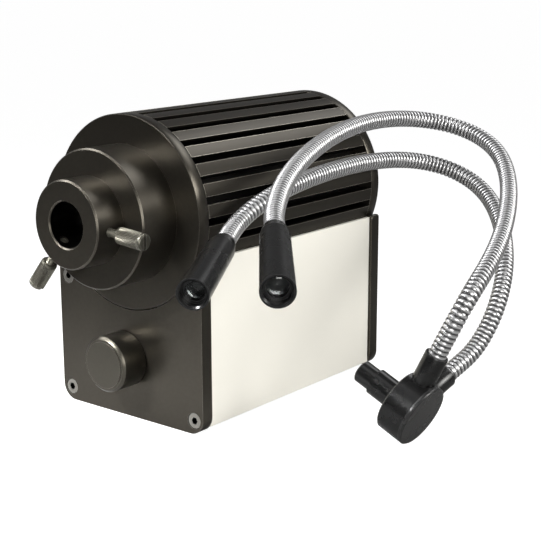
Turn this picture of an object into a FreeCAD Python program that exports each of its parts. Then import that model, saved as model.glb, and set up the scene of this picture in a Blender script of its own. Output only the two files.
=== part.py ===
import FreeCAD, Part
import math
import os
import re
import Sketcher
from FreeCAD import Placement, Rotation, Vector

# Fibre optic illuminator with its two-arm light guide, in millimetres.
# The origin is the middle of the case's underside, a little above the bench.
# The front, with the knob and the light outlet, faces -Y. +Z is up.

document = FreeCAD.newDocument("FibreOpticIlluminator")
sheet = document.addObject("Spreadsheet::Sheet", "Sizes")

# Driving dimensions: name, value and meaning
SIZES = [
    ("body_length", 108, "outer face to outer face of the end plates"),
    ("plate_width", 70.6, "end plates, side to side"),
    ("plate_top", 61, "end plates' tips beside the flange, above the case's underside"),
    ("plate_foot", 2, "end plates' bottoms below the case's underside"),
    ("plate_thick", 5, "end plates and flanges"),
    ("plate_corner", 6, "radius of the plates' lower corners"),
    ("horn_round", 1, "radius on the plates' upper tips"),
    ("axis_height", 73.7, "light axis above the case's underside"),
    ("barrel_dia", 70, "heat sink and flanges"),
    ("flange_gap", 0.3, "round gap between a flange and its end plate"),
    ("case_inset", 1, "case sides inside the plates' sides"),
    ("case_top", 60.5, "upper edge of the case sides"),
    ("case_wall", 1.6, "sheet of the case"),
    ("port_dia", 6, "screw ports along the case"),
    ("port_inset", 4.2, "screw axis inside the plates' sides"),
    ("port_low", 3, "height of the lower screws"),
    ("port_high", 46.3, "height of the upper screws"),
    ("fin_count", 30, "fins round the heat sink"),
    ("groove_width", 2.8, "gap between two fins"),
    ("groove_depth", 6, "fin height"),
    ("light_bore", 20, "light path through flange and barrel"),
    ("wire_slot_width", 5, "slot for the lamp lead in the heat sink"),
    ("wire_slot_depth", 3, "slot for the lamp lead in the heat sink"),
    ("saddle_thick", 6, "cradle plates under the heat sink"),
    ("saddle_base", 4.7, "cradles' least thickness under the heat sink"),
    ("saddle_high", 54, "tips of the cradles"),
    ("saddle_spacing", 60, "between the two cradles"),
    ("fit", 0.1, "gap all round between pieces that fit"),
    ("screw_dia", 3, "thread of the body screws"),
    ("head_dia", 5.5, "socket heads"),
    ("head_height", 3, "socket heads"),
    ("socket_size", 2.9, "hexagon, corner to corner"),
    ("socket_depth", 1.6, "hexagon socket"),
    ("sink_depth", 3.2, "counterbore for a socket head"),
    ("edge_break", 0.5, "small turned edges"),
    ("plate_screw", 12, "shank of the end plate screws"),
    ("flange_screw", 9, "shank of the flange screws"),
    ("flange_screw_inset", 8.5, "rear flange screws inside its edge"),
    ("hidden_screw_circle", 18, "radius of the screws under the barrel"),
    ("flange_groove_inset", 2, "turned line inside the rear flange's edge"),
    ("groove_line", 0.5, "width and depth of the turned line"),
    ("saddle_screw", 12, "shank of the cradle screws"),
    ("lens_barrel_dia", 49.3, "light outlet drum"),
    ("lens_barrel_length", 16.3, "drum in front of the flange"),
    ("collar_dia", 30.9, "guide collar"),
    ("collar_length", 12, "collar in front of the drum"),
    ("collar_spigot", 3, "collar set into the drum"),
    ("collar_spigot_dia", 25, "collar set into the drum"),
    ("guide_bore", 16, "bore that takes a light guide"),
    ("adapter_bore", 8.4, "reducing bush, inside"),
    ("adapter_step", 0.5, "reducing bush's seat outside the guide bore"),
    ("lens_dia", 19.6, "condenser lens"),
    ("lens_thick", 6, "condenser lens"),
    ("lens_curve", 13, "radius of the lens's round face"),
    ("lens_seat", 2, "lens flat face in front of the flange"),
    ("retainer_length", 1.8, "ring behind the lens"),
    ("retainer_bore", 16, "ring behind the lens"),
    ("lamp_board_dia", 19, "round board that carries the lamp"),
    ("lamp_board_thick", 1.6, "round board that carries the lamp"),
    ("pad_thick", 0.4, "thermal pad behind the board"),
    ("emitter_size", 7, "lamp chip package"),
    ("emitter_height", 1.2, "lamp chip package"),
    ("lamp_screw_dia", 2, "screws of the lamp board"),
    ("lamp_screw_spacing", 14, "screws of the lamp board"),
    ("lamp_screw", 5, "shank of the lamp board's screws"),
    ("lamp_head", 1.3, "heads of the lamp board's screws"),
    ("knob_dia", 20.4, "control knob"),
    ("knob_length", 11.2, "control knob"),
    ("knob_across", -1.5, "knob axis from the middle"),
    ("knob_up", 20, "knob axis above the case's underside"),
    ("knob_gap", 0.5, "knob's back to the plate"),
    ("knob_chamfer", 0.9, "knob's front edge"),
    ("knob_rim", 0.8, "flat line inside the knob's chamfer"),
    ("knob_rise", 0.3, "knob's face above that line"),
    ("knob_recess_dia", 15.4, "hollow back of the knob"),
    ("knob_recess", 5, "hollow back of the knob"),
    ("knob_bore", 9.5, "depth of the shaft hole from the back"),
    ("grub_up", 7.2, "grub screw from the knob's back"),
    ("grub_length", 6.5, "grub screw"),
    ("grub_socket", 1.7, "its hexagon, corner to corner"),
    ("grub_socket_depth", 1.5, "its hexagon socket"),
    ("shaft_dia", 6, "control shaft"),
    ("bushing_dia", 9, "threaded neck of the dimmer"),
    ("bushing_length", 9, "neck from the plate's inner face"),
    ("dimmer_dia", 16, "dimmer housing"),
    ("dimmer_length", 8, "dimmer housing"),
    ("nut_across", 13, "dimmer nut, corner to corner"),
    ("nut_thick", 2, "dimmer nut"),
    ("washer_dia", 12.5, "dimmer washer"),
    ("washer_thick", 0.4, "dimmer washer"),
    ("stud_dia", 3, "thumbscrew thread"),
    ("stud_back", 0.3, "thread's inner end outside the guide bore"),
    ("thumb_base", 19.8, "knurled head from the light axis"),
    ("thumb_length", 11.8, "knurled head"),
    ("thumb_dia", 5.8, "knurled head"),
    ("thumb_slot_width", 0.9, "screwdriver slot"),
    ("thumb_slot_depth", 1.5, "screwdriver slot"),
    ("thumb_hold", 5, "thread held in the head"),
    ("right_thumb_fall", 5, "degrees below level, right side"),
    ("left_thumb_fall", 50, "degrees below level, left side"),
    ("right_thumb_front", 22.7, "axis from the flange's front face"),
    ("left_thumb_front", 24.6, "axis from the flange's front face"),
    ("inlet_across", -16, "power inlet from the middle"),
    ("inlet_up", 20, "power inlet above the case's underside"),
    ("inlet_body_dia", 11, "power inlet inside the case"),
    ("inlet_body_length", 12, "power inlet inside the case"),
    ("inlet_neck_dia", 8, "power inlet's threaded neck"),
    ("inlet_neck_out", 3, "neck behind the rear plate"),
    ("inlet_bore_dia", 5.8, "hole for the plug"),
    ("inlet_bore_depth", 9.5, "hole for the plug"),
    ("inlet_pin_dia", 2, "contact pin"),
    ("inlet_nut_across", 12.6, "inlet nut, corner to corner"),
    ("inlet_nut_thick", 2, "inlet nut"),
    ("switch_across", 12, "rocker switch from the middle"),
    ("switch_up", 20, "rocker switch above the case's underside"),
    ("bezel_width", 15, "switch frame"),
    ("bezel_height", 21, "switch frame"),
    ("bezel_thick", 1.6, "switch frame"),
    ("switch_body_width", 12.8, "switch body in the plate"),
    ("switch_body_height", 18.8, "switch body in the plate"),
    ("switch_body_depth", 13, "switch body from the plate's outer face"),
    ("rocker_width", 10, "rocker"),
    ("rocker_height", 14, "rocker"),
    ("rocker_swing", 8, "degrees each side of the middle"),
    ("rocker_gap", 0.8, "above and below the rocker"),
    ("rocker_side_gap", 0.3, "beside the rocker"),
    ("rocker_proud", 2.4, "rocker's ends above the plate"),
    ("rocker_dip", 1.2, "rocker's middle above the plate"),
    ("rocker_depth", 3, "rocker's back below the plate"),
    ("rocker_taper", 1.6, "rocker's ends slope inwards by this"),
    ("rocker_well", 7, "hollow for the rocker, below the plate"),
    ("trunnion_dia", 1.6, "rocker's pivot pins"),
    ("trunnion_length", 0.9, "rocker's pivot pins, beyond its sides"),
    ("board_width", 52, "driver board"),
    ("board_length", 58, "driver board"),
    ("board_thick", 1.6, "driver board"),
    ("board_shift", -3, "driver board's middle along Y"),
    ("standoff_dia", 5, "pillars under the board"),
    ("standoff_height", 5, "pillars under the board"),
    ("standoff_inset", 4, "pillars from the board's edges"),
    ("board_screw_dia", 2.5, "board screws"),
    ("board_head", 1.8, "heads of the board screws"),
    ("board_screw_end", 0.3, "screw's end above the case's underside"),
    ("coil_across", -10, "driver coil from the middle"),
    ("coil_along", -8, "driver coil from the board's middle"),
    ("capacitor_across", 8, "driver capacitors from the middle"),
    ("first_capacitor", -12, "from the board's middle"),
    ("second_capacitor", -1, "from the board's middle"),
    ("front_terminal", 10, "front terminal block from the middle"),
    ("rear_terminal", -13, "rear terminal block from the middle"),
    ("terminal_inset", 1, "terminal blocks from the board's ends"),
    ("coil_dia", 16, "driver coil"),
    ("coil_hole", 7, "driver coil"),
    ("coil_height", 8, "driver coil"),
    ("capacitor_dia", 8, "driver capacitors"),
    ("capacitor_height", 12, "driver capacitors"),
    ("terminal_width", 10, "terminal blocks"),
    ("terminal_depth", 7, "terminal blocks"),
    ("terminal_height", 8, "terminal blocks"),
    ("lead_dia", 2.2, "two-core leads inside"),
    ("lead_gap", 0.3, "leads' ends from their terminals"),
    ("lead_rise", 4.4, "supply lead's way up over the board"),
    ("lead_drop", 1.3, "lamp lead's first bend below the cradles"),
    ("lead_slope", 4, "lamp lead's fall between its bends"),
    ("lamp_lead_bend", 3.2, "radius of the lead's centre line"),
    ("supply_lead_bend", 2.4, "radius of the lead's centre line"),
    ("guide_across", 100, "guide's cap face from the middle, along X"),
    ("guide_along", -14, "guide's cap face, along Y"),
    ("guide_tilt", 24.5, "ferrule axis above level, in degrees"),
    ("manifold_dia", 23, "branching drum of the guide"),
    ("manifold_length", 11, "drum with its cap"),
    ("cap_thick", 1.5, "drum's cap"),
    ("cap_step", 0.3, "cap's step inside the drum"),
    ("manifold_hollow", 16, "hollow inside the drum"),
    ("manifold_floor", 2, "wall behind the ferrule"),
    ("shoulder_dia", 9.8, "ferrule's shoulder"),
    ("shoulder_length", 10.4, "ferrule's shoulder"),
    ("ferrule_dia", 8.2, "ferrule"),
    ("ferrule_length", 6.8, "ferrule in front of its shoulder"),
    ("ferrule_bore", 5.6, "ferrule, inside"),
    ("sleeve_wall", 0.75, "sleeves that hold the arms"),
    ("sleeve_base", 7.6, "sleeves' inner ends from the drum's axis"),
    ("sleeve_back", 6, "sleeve axes from the cap face"),
    ("right_sleeve_end", 22, "sleeve's outer end from the drum's axis"),
    ("left_sleeve_end", 20, "sleeve's outer end from the drum's axis"),
    ("right_sleeve_turn", 6, "degrees round the drum from the top"),
    ("left_sleeve_turn", 66, "degrees round the drum from the top"),
    ("hose_dia", 6.6, "bendable arm over its ribs"),
    ("rib_height", 0.35, "bendable arm's ribs"),
    ("hose_wall", 0.45, "bendable arm between its ribs"),
    ("rib_pitch", 1.8, "along the arm"),
    ("hose_grip", 6, "arm held in the sleeve and in the tip"),
    ("bundle_gap", 0.3, "round the fibre bundle in its arm"),
    ("tip_length", 42, "light tip"),
    ("tip_neck_wall", 0.5, "tip round the arm"),
    ("tip_shoulder", 5, "length of the tip's slope"),
    ("tip_shoulder_dia", 9.6, "tip in front of its slope"),
    ("tip_end_dia", 10.5, "tip at the light's end"),
    ("tip_cell_dia", 8.4, "hollow that holds the lens"),
    ("tip_cell_depth", 12, "hollow that holds the lens"),
    ("tip_lens_seat", 4, "lens in front of the hollow's floor"),
    ("tip_lens_thick", 3.2, "lens in the tip"),
    ("tip_lens_curve", 6, "radius of its round face"),
    ("tip_ring_length", 2, "ring in front of the lens"),
    ("tip_ring_bore", 6.6, "ring in front of the lens"),
    ("right_tip_yaw", 39.6, "degrees from the front towards +X"),
    ("right_tip_dip", 11.8, "degrees below level"),
    ("left_tip_yaw", 27.6, "degrees from the front towards +X"),
    ("left_tip_dip", 8.9, "degrees below level"),
]

NAMES = [name for name, value, meaning in SIZES]
for row, (name, value, meaning) in enumerate(SIZES, start=2):
    sheet.set("A%d" % row, meaning)
    sheet.set("B%d" % row, str(value))
    sheet.setAlias("B%d" % row, name)
document.recompute()

# Route points of the two arms, chosen by eye: the tips' necks and the points between
RIGHT_NECK = Vector(80, -70, 80)
RIGHT_ROUTE = [(105, 33, 65), (74, 92, 88), (35, 93, 97), (34, 35, 101), (54, -30, 92)]
LEFT_NECK = Vector(50, -59, 70)
LEFT_ROUTE = [(105, 37, 51), (69, 88, 72), (36, 78, 83), (39, 16, 85), (44, -29, 81)]
STRAIGHT_RUN = 7
ROUTE_LEAD = {"right": (18.8, 9), "left": (13.6, 13.6)}

UP = Vector(0, 0, 1)
FRONT = Rotation(Vector(1, 0, 0), 90)
REAR = Rotation(Vector(1, 0, 0), -90)
LEVEL = Rotation()


def number(expression):
    """The value of an expression in the sheet's names."""
    sheet.set("D1", "=" + expression)
    sheet.recompute()
    return float(sheet.get("D1"))


def bound(expression):
    """The same expression as other objects of the document write it."""
    return re.sub(r"[a-z_]+", lambda word: "Sizes." + word[0] if word[0] in NAMES else word[0], expression)


def put(piece, x="0", y="0", z="0", turn=LEVEL):
    """Place a piece, its position bound to the sheet."""
    piece.Placement = Placement(Vector(), turn)
    for axis, value in zip("xyz", (x, y, z)):
        piece.setExpression("Placement.Base." + axis, bound(value))
    return piece


def new_body(label):
    body = document.addObject("PartDesign::Body", label)
    body.Label = label
    return body


def new_sketch(body, role="XY_Plane", offset="0"):
    """A sketch on one of the body's own planes, moved along its normal."""
    plane = [item for item in body.Origin.OriginFeatures if item.Role == role][0]
    sketch = body.newObject("Sketcher::SketchObject", body.Label + "_sketch")
    sketch.AttachmentSupport = [(plane, "")]
    sketch.MapMode = "FlatFace"
    sketch.setExpression("AttachmentOffset.Base.z", bound(offset))
    return sketch


def pin(sketch, geometry, point, x, y):
    """Fix a point of a sketch at two sizes from its origin."""
    for kind, value, axis in (("DistanceX", x, -2), ("DistanceY", y, -1)):
        if value == "0":
            sketch.addConstraint(Sketcher.Constraint("PointOnObject", geometry, point, axis))
            continue
        index = sketch.addConstraint(Sketcher.Constraint(kind, -1, 1, geometry, point, number(value)))
        sketch.setExpression("Constraints[%d]" % index, bound(value))


def draw_outline(sketch, corners):
    """A closed outline of straight lines through corners given as expressions."""
    points = [Vector(number(x), number(y), 0) for x, y in corners]
    first = sketch.GeometryCount
    count = len(points)
    for index, point in enumerate(points):
        sketch.addGeometry(Part.LineSegment(point, points[(index + 1) % count]), False)
    for index in range(count):
        following = first + (index + 1) % count
        sketch.addConstraint(Sketcher.Constraint("Coincident", first + index, 2, following, 1))
    for index, (x, y) in enumerate(corners):
        pin(sketch, first + index, 1, x, y)


def draw_circle(sketch, x, y, radius):
    centre = Vector(number(x), number(y), 0)
    index = sketch.addGeometry(Part.Circle(centre, UP, number(radius)), False)
    pin(sketch, index, 3, x, y)
    constraint = sketch.addConstraint(Sketcher.Constraint("Radius", index, number(radius)))
    sketch.setExpression("Constraints[%d]" % constraint, bound(radius))


def rectangle(x0, y0, x1, y1):
    return [(x0, y0), (x1, y0), (x1, y1), (x0, y1)]


def add_pad(body, sketch, length):
    pad = body.newObject("PartDesign::Pad", body.Label + "_pad")
    pad.Profile = sketch
    pad.setExpression("Length", bound(length))
    body.Tip = pad
    return pad


def add_pocket(body, sketch, depth=None):
    """Cut against the sketch's normal, to a depth or right through."""
    pocket = body.newObject("PartDesign::Pocket", body.Label + "_pocket")
    pocket.Profile = sketch
    if depth is None:
        pocket.Type = "ThroughAll"
    else:
        pocket.setExpression("Length", bound(depth))
    body.Tip = pocket
    return pocket


def drill(body, places, radius, top, depth=None):
    """Round holes sunk from the height top of a body."""
    sketch = new_sketch(body, offset=top)
    for x, y in places:
        draw_circle(sketch, x, y, radius)
    return add_pocket(body, sketch, depth)


def round_edges(body, chosen, radius):
    """Round the upright edges whose middles the test picks."""
    document.recompute()
    base = body.Tip
    names = []
    for index, edge in enumerate(base.Shape.Edges, start=1):
        middle = edge.BoundBox.Center
        upright = edge.BoundBox.XLength + edge.BoundBox.YLength < 0.01
        if upright and chosen(middle):
            names.append("Edge%d" % index)
    fillet = body.newObject("PartDesign::Fillet", body.Label + "_round")
    fillet.Base = (base, names)
    fillet.setExpression("Radius", bound(radius))
    body.Tip = fillet


def turned(label, corners):
    """A piece turned about its own Z axis: corners are (radius, height)."""
    body = new_body(label)
    sketch = new_sketch(body, "XZ_Plane")
    draw_outline(sketch, corners)
    revolution = body.newObject("PartDesign::Revolution", label + "_revolution")
    revolution.Profile = sketch
    revolution.ReferenceAxis = (sketch, ["V_Axis"])
    revolution.Angle = 360
    body.Tip = revolution
    return body


def ring(inner, outer, low, high):
    """Outline of a plain ring for turned."""
    return [(inner, low), (outer, low), (outer, high), (inner, high)]


def cylinder(label, radius, height):
    piece = document.addObject("Part::Cylinder", label)
    piece.Label = label
    piece.setExpression("Radius", bound(radius))
    piece.setExpression("Height", bound(height))
    return piece


def box(label, length, width, height):
    piece = document.addObject("Part::Box", label)
    piece.Label = label
    for side, value in (("Length", length), ("Width", width), ("Height", height)):
        piece.setExpression(side, bound(value))
    return piece


def prism(label, across, height):
    """A six-sided prism, across its corners."""
    piece = document.addObject("Part::Prism", label)
    piece.Label = label
    piece.Polygon = 6
    piece.setExpression("Circumradius", bound(across + " / 2"))
    piece.setExpression("Height", bound(height))
    return piece


def cut(label, base, tool):
    piece = document.addObject("Part::Cut", label)
    piece.Label = label
    piece.Base = base
    piece.Tool = tool
    return piece


def fuse(label, pieces):
    piece = document.addObject("Part::MultiFuse", label)
    piece.Label = label
    piece.Shapes = pieces
    piece.Refine = True
    return piece


def group(label, pieces):
    """Separate solids that share one node."""
    piece = document.addObject("Part::Compound", label)
    piece.Label = label
    piece.Links = pieces
    return piece


def solid(label, shape):
    piece = document.addObject("Part::Feature", label)
    piece.Label = label
    piece.Shape = shape


def socket_screw(label, length, radius="screw_dia / 2 - fit / 2", head="head_dia / 2", height="head_height"):
    """A socket-head screw: its head's top is at the local origin, its shank points down."""
    outline = [
        ("0", "-({0}) - ({1})".format(height, length)),
        (radius, "-({0}) - ({1})".format(height, length)),
        (radius, "-({0})".format(height)),
        (head, "-({0})".format(height)),
        (head, "0"),
        ("0", "0"),
    ]
    blank = turned(label + "_blank", outline)
    key = put(prism(label + "_key", "socket_size * ({0}) / (head_dia / 2)".format(head), "socket_depth"),
              z="-socket_depth")
    return cut(label, blank, key)


# Places that several pieces share, as expressions
front_inner = "plate_thick - body_length / 2"
front_face = "-body_length / 2"
rear_inner = "body_length / 2 - plate_thick"
rear_face = "body_length / 2"
case_half = "(plate_width / 2 - case_inset)"
case_inner = "(plate_width / 2 - case_inset - case_wall)"
case_floor = "case_wall"
port_x = "(plate_width / 2 - port_inset)"
hole = "screw_dia / 2"
saddle_low = "(axis_height - barrel_dia / 2 - saddle_base)"
guide_seat = "(guide_bore / 2 + adapter_step)"
stud_end = "(guide_bore / 2 + stud_back)"
arm_seat = "(hose_dia / 2 + fit)"
hose_root = "(hose_dia / 2 - rib_height)"
hose_inside = "(hose_dia / 2 - rib_height - hose_wall)"
bundle_radius = "(hose_dia / 2 - rib_height - hose_wall - bundle_gap)"
sleeve_radius = "(hose_dia / 2 + fit + sleeve_wall)"
PORTS = [(side + port_x, height) for side in ("-", "") for height in ("port_low", "port_high")]


def ring_places(count, radius, first=0, middle="0"):
    """Places evenly round a circle, as expressions, first in degrees from +X."""
    places = []
    for index in range(count):
        angle = first + 360.0 * index / count
        across = "%s * %.6f" % (radius, math.cos(math.radians(angle)))
        upward = "%s + %s * %.6f" % (middle, radius, math.sin(math.radians(angle)))
        places.append((across, upward))
    return places


def make_case():
    """Bottom and sides in one bent sheet, with four screw ports along it."""
    body = new_body("case_shell")
    sketch = new_sketch(body)
    draw_outline(sketch, [
        ("-" + case_half, "0"), (case_half, "0"),
        (case_half, "case_top"), (case_inner, "case_top"),
        (case_inner, case_floor), ("-" + case_inner, case_floor),
        ("-" + case_inner, "case_top"), ("-" + case_half, "case_top"),
    ])
    add_pad(body, sketch, "body_length - 2 * plate_thick")
    for x, y in PORTS:
        sketch = new_sketch(body)
        draw_circle(sketch, x, y, "port_dia / 2")
        add_pad(body, sketch, "body_length - 2 * plate_thick")
    drill(body, PORTS, hole, "body_length - 2 * plate_thick")
    drill(body, [("0", "axis_height")], "barrel_dia / 2 + fit", "body_length - 2 * plate_thick")
    for x, y in board_places():
        thread = new_sketch(body, "XZ_Plane")
        draw_circle(thread, x, "body_length / 2 - plate_thick - (%s)" % y, "board_screw_dia / 2")
        add_pocket(body, thread, case_floor + " + 1")
    put(body, y=rear_inner, turn=FRONT)


def make_end_plate(label, y):
    """An end plate with its round seat for the flange and its counterbored screw holes."""
    body = new_body(label)
    sketch = new_sketch(body)
    draw_outline(sketch, rectangle("-plate_width / 2", "-plate_foot", "plate_width / 2", "plate_top"))
    add_pad(body, sketch, "plate_thick")
    drill(body, [("0", "axis_height")], "barrel_dia / 2 + flange_gap", "plate_thick")
    half = number("plate_width / 2") - 0.1
    round_edges(body, lambda middle: middle.y < 1 and abs(middle.x) > half, "plate_corner")
    top = number("plate_top") - 0.1
    round_edges(body, lambda middle: middle.y > top, "horn_round")
    put(body, y=y, turn=FRONT)
    return body


def make_front_plate():
    body = make_end_plate("front_plate", front_inner)
    drill(body, PORTS, "screw_dia / 2 + fit", "plate_thick")
    drill(body, PORTS, "head_dia / 2 + fit * 2.5", "plate_thick", "sink_depth")
    drill(body, [("knob_across", "knob_up")], "bushing_dia / 2 + fit", "plate_thick")


def make_rear_plate():
    body = make_end_plate("rear_plate", rear_face)
    drill(body, PORTS, "screw_dia / 2 + fit", "plate_thick")
    counterbores = new_sketch(body)
    for x, y in PORTS:
        draw_circle(counterbores, x, y, "head_dia / 2 + fit * 2.5")
    add_pocket(body, counterbores, "sink_depth").Reversed = True
    drill(body, [("inlet_across", "inlet_up")], "inlet_neck_dia / 2 + fit", "plate_thick")
    window = new_sketch(body, offset="plate_thick")
    draw_outline(window, rectangle(
        "switch_across - switch_body_width / 2 - fit", "switch_up - switch_body_height / 2 - fit",
        "switch_across + switch_body_width / 2 + fit", "switch_up + switch_body_height / 2 + fit"))
    add_pocket(body, window)


def plate_screws():
    """Four screws in each end plate."""
    screws = []
    for end, y, turn in (("front", front_face + " + sink_depth - head_height", FRONT),
                         ("rear", rear_face + " - sink_depth + head_height", REAR)):
        for index, (x, z) in enumerate(PORTS):
            screw = socket_screw("plate_screw_%s_%d" % (end, index + 1), "plate_screw")
            screws.append(put(screw, x, y, z, turn))
    group("end_plate_screws", screws)


FLANGE_SCREWS = ring_places(4, "(barrel_dia / 2 - flange_screw_inset)", 45)
HIDDEN_SCREWS = ring_places(3, "hidden_screw_circle", 90)
BARREL_SCREWS = ring_places(3, "hidden_screw_circle", 30)


def make_heat_sink():
    """Finned round body, with the lamp lead's slot and its threaded holes."""
    length = "body_length - 2 * plate_thick"
    body = new_body("heat_sink")
    sketch = new_sketch(body)
    draw_circle(sketch, "0", "0", "barrel_dia / 2")
    add_pad(body, sketch, length)
    groove = new_sketch(body, offset=length)
    draw_outline(groove, rectangle("barrel_dia / 2 - groove_depth", "-groove_width / 2",
                                   "barrel_dia / 2 + 1", "groove_width / 2"))
    pocket = add_pocket(body, groove)
    pattern = body.newObject("PartDesign::PolarPattern", "heat_sink_fins")
    pattern.Originals = [pocket]
    pattern.Axis = (groove, ["N_Axis"])
    pattern.Angle = 360
    pattern.setExpression("Occurrences", bound("fin_count"))
    body.Tip = pattern
    slot = new_sketch(body, offset=length)
    draw_outline(slot, rectangle("-wire_slot_width / 2", "-barrel_dia / 2 - 1",
                                 "wire_slot_width / 2", "-lamp_board_dia / 2 + 2"))
    add_pocket(body, slot, "wire_slot_depth")
    drill(body, HIDDEN_SCREWS, hole, length, "flange_screw")
    holes = [("lamp_screw_spacing / 2", "0"), ("-lamp_screw_spacing / 2", "0")]
    drill(body, holes, "lamp_screw_dia / 2", length, "lamp_screw + 1")
    rear = new_sketch(body)
    for x, y in FLANGE_SCREWS:
        draw_circle(rear, x, y, hole)
    add_pocket(body, rear, "flange_screw").Reversed = True
    for side in ("-", "+"):
        level = new_sketch(body, "XZ_Plane", "barrel_dia / 2 + 1")
        draw_circle(level, "0", "%s %s saddle_spacing / 2" % (rear_inner, side), hole)
        add_pocket(body, level, "saddle_screw")
    put(body, y=rear_inner, z="axis_height", turn=FRONT)


def make_front_flange():
    """Disc in front of the heat sink, with the light path through it."""
    body = new_body("front_flange")
    sketch = new_sketch(body)
    draw_circle(sketch, "0", "0", "barrel_dia / 2")
    draw_circle(sketch, "0", "0", "light_bore / 2")
    add_pad(body, sketch, "plate_thick")
    drill(body, HIDDEN_SCREWS + BARREL_SCREWS, "screw_dia / 2 + fit", "plate_thick")
    drill(body, HIDDEN_SCREWS, "head_dia / 2 + fit * 2.5", "plate_thick", "sink_depth")
    behind = new_sketch(body)
    for x, y in BARREL_SCREWS:
        draw_circle(behind, x, y, "head_dia / 2 + fit * 2.5")
    add_pocket(body, behind, "sink_depth").Reversed = True
    put(body, y=front_inner, z="axis_height", turn=FRONT)


def make_rear_flange():
    """Disc behind the heat sink, with a turned line near its rim."""
    body = new_body("rear_flange")
    sketch = new_sketch(body)
    draw_circle(sketch, "0", "0", "barrel_dia / 2")
    add_pad(body, sketch, "plate_thick")
    drill(body, FLANGE_SCREWS, "screw_dia / 2 + fit", "plate_thick")
    behind = new_sketch(body)
    for x, y in FLANGE_SCREWS:
        draw_circle(behind, x, y, "head_dia / 2 + fit * 2.5")
    add_pocket(body, behind, "sink_depth").Reversed = True
    line = new_sketch(body)
    draw_circle(line, "0", "0", "barrel_dia / 2 - flange_groove_inset")
    draw_circle(line, "0", "0", "barrel_dia / 2 - flange_groove_inset - groove_line")
    add_pocket(body, line, "groove_line").Reversed = True
    put(body, y=rear_face, z="axis_height", turn=FRONT)


def flange_screws():
    """Screws of both flanges and of the barrel."""
    groups = (
        ("front_flange_screws", HIDDEN_SCREWS, front_face + " + sink_depth - head_height", FRONT),
        ("barrel_screws", BARREL_SCREWS, front_inner + " - sink_depth + head_height", REAR),
        ("rear_flange_screws", FLANGE_SCREWS, rear_face + " - sink_depth + head_height", REAR),
    )
    for label, places, y, turn in groups:
        screws = []
        for index, (x, z) in enumerate(places):
            screw = socket_screw("%s_%d" % (label, index + 1), "flange_screw - 0.5")
            screws.append(put(screw, x, y, "axis_height + " + z, turn))
        group(label, screws)


def make_saddles():
    """Two cradles that carry the heat sink on the case's screw ports."""
    cradles, screws = [], []
    for index, side in enumerate(("-", "")):
        body = new_body("saddle_%d" % (index + 1))
        sketch = new_sketch(body)
        draw_outline(sketch, rectangle("fit - " + case_inner, saddle_low,
                                       case_inner + " - fit", "saddle_high"))
        add_pad(body, sketch, "saddle_thick")
        drill(body, [("0", "axis_height")], "barrel_dia / 2 + fit", "saddle_thick")
        drill(body, [PORTS[1], PORTS[3]], "port_dia / 2 + fit", "saddle_thick")
        level = new_sketch(body, "XZ_Plane")
        draw_circle(level, "0", "saddle_thick / 2", "screw_dia / 2 + fit")
        add_pocket(body, level, "axis_height")
        middle = "%ssaddle_spacing / 2" % side
        cradles.append(put(body, y=middle + " + saddle_thick / 2", turn=FRONT))
        screw = socket_screw("saddle_screw_%d" % (index + 1), "saddle_screw")
        screws.append(put(screw, "0", middle, saddle_low + " - head_height", Rotation(Vector(1, 0, 0), 180)))
    group("heat_sink_saddles", cradles)
    group("saddle_screws", screws)


def make_outlet():
    """Lens barrel, guide collar, reducing bush and the condenser lens with its ring."""
    lens_front = "lens_seat + lens_thick + fit"
    barrel = turned("lens_barrel", [
        ("light_bore / 2", "0"), ("lens_barrel_dia / 2", "0"),
        ("lens_barrel_dia / 2", "lens_barrel_length - edge_break"),
        ("lens_barrel_dia / 2 - edge_break", "lens_barrel_length"),
        ("collar_spigot_dia / 2 + fit", "lens_barrel_length"),
        ("collar_spigot_dia / 2 + fit", "lens_barrel_length - collar_spigot"),
        (guide_seat, "lens_barrel_length - collar_spigot"),
        (guide_seat, lens_front),
        ("light_bore / 2", lens_front),
    ])
    drill_from_back = new_sketch(barrel)
    for x, y in BARREL_SCREWS:
        draw_circle(drill_from_back, x, y, hole)
    add_pocket(barrel, drill_from_back, "flange_screw - plate_thick + sink_depth").Reversed = True
    put(barrel, y=front_face, z="axis_height", turn=FRONT)

    collar_blank = turned("collar_blank", [
        ("guide_bore / 2", "-collar_spigot"), ("collar_spigot_dia / 2", "-collar_spigot"),
        ("collar_spigot_dia / 2", "0"), ("collar_dia / 2", "0"),
        ("collar_dia / 2", "collar_length - edge_break"), ("collar_dia / 2 - edge_break", "collar_length"),
        ("guide_bore / 2 + edge_break", "collar_length"), ("guide_bore / 2", "collar_length - edge_break"),
    ])
    threads = []
    for side in ("right", "left"):
        thread = cylinder("collar_thread_" + side, "stud_dia / 2 + fit", "collar_dia")
        height = "%s_thumb_front - lens_barrel_length" % side
        way = thumb_way(side)
        turn = Rotation(UP, Vector(way.x, way.z, 0))
        threads.append(put(thread, z=height, turn=turn))
    collar = cut("guide_collar", collar_blank, fuse("collar_threads", threads))
    put(collar, y=front_face + " - lens_barrel_length", z="axis_height", turn=FRONT)

    bush = turned("ferrule_adapter", ring("adapter_bore / 2", guide_seat + " - fit", lens_front + " + fit",
                                          "lens_barrel_length - collar_spigot - fit"))
    put(bush, y=front_face, z="axis_height", turn=FRONT)

    lens = make_lens("condenser_lens", "lens_dia / 2", "lens_thick", "lens_curve")
    put(lens, y=front_face + " - lens_seat", z="axis_height", turn=FRONT)
    retainer = turned("lens_retainer", ring("retainer_bore / 2", "light_bore / 2 - fit",
                                            "lens_seat - fit - retainer_length", "lens_seat - fit"))
    put(retainer, y=front_face, z="axis_height", turn=FRONT)


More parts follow.
